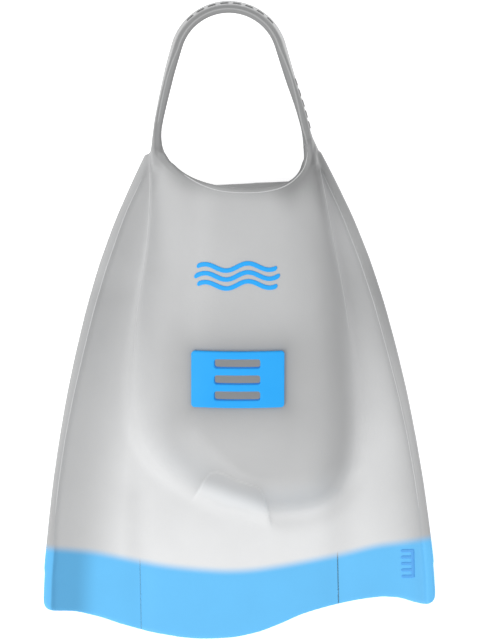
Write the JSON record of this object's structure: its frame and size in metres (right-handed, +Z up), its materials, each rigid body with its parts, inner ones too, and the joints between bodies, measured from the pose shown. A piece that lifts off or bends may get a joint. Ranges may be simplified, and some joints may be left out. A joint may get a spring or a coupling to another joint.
{
  "type": "swim fin",
  "caption": "Short silicone swim training fin with an open-heel foot pocket, heel strap, side rails, slotted vent badge and a flexible two-tone blade.",
  "frame": {"origin": "on the floor under the middle of the fin's plan, halfway between the blade's lowest edge and the back of the heel strap", "axes": "+X to the big toe's side, +Y towards the heel along the fin, +Z up from the sole to the instep"},
  "size_m": [0.22, 0.3571, 0.0818],
  "materials": {
    "silicone_grey": "translucent light grey silicone, satin",
    "silicone_pale": "translucent pale grey silicone, satin",
    "silicone_blue": "sky blue silicone, satin",
    "badge_blue": "bright blue, smooth"
  },
  "bodies": {
    "foot_pocket": {"instep_shell": "silicone_grey", "lateral_wall": "silicone_grey", "medial_wall": "silicone_grey", "toe_wall": "silicone_grey", "sole": "silicone_grey", "mouth_rim": "silicone_grey", "left_web": "silicone_grey", "right_web": "silicone_grey", "left_rail": "silicone_grey", "right_rail": "silicone_grey", "blade_panel": "silicone_pale", "power_rib": "silicone_pale", "vent_badge": "badge_blue", "wave_emblem": "badge_blue"},
    "heel_strap": {"heel_strap": "silicone_grey"},
    "tip_left": {"left_tip_flap": "silicone_blue", "left_rail_tip": "silicone_blue"},
    "tip_centre": {"centre_tip_flap": "silicone_blue"},
    "tip_right": {"right_tip_flap": "silicone_blue", "right_rail_tip": "silicone_blue", "tip_ladder": "silicone_blue"}
  },
  "joints": [
    {"name": "heel_strap_flex", "type": "hinge", "parent": "foot_pocket", "child": "heel_strap", "pos_m": [0, 0.096, 0.048], "axis": [1, 0, 0], "range_deg": [-40, 45], "stiffness_Nm_per_rad": 0.35},
    {"name": "left_tip_flex", "type": "hinge", "parent": "foot_pocket", "child": "tip_left", "pos_m": [-0.08, -0.127, 0.01], "axis": [1, 0, 0], "range_deg": [-25, 25], "stiffness_Nm_per_rad": 0.5},
    {"name": "centre_tip_flex", "type": "hinge", "parent": "foot_pocket", "child": "tip_centre", "pos_m": [0, -0.127, 0.01], "axis": [1, 0, 0], "range_deg": [-25, 25], "stiffness_Nm_per_rad": 0.8},
    {"name": "right_tip_flex", "type": "hinge", "parent": "foot_pocket", "child": "tip_right", "pos_m": [0.08, -0.127, 0.01], "axis": [1, 0, 0], "range_deg": [-25, 25], "stiffness_Nm_per_rad": 0.5}
  ]
}
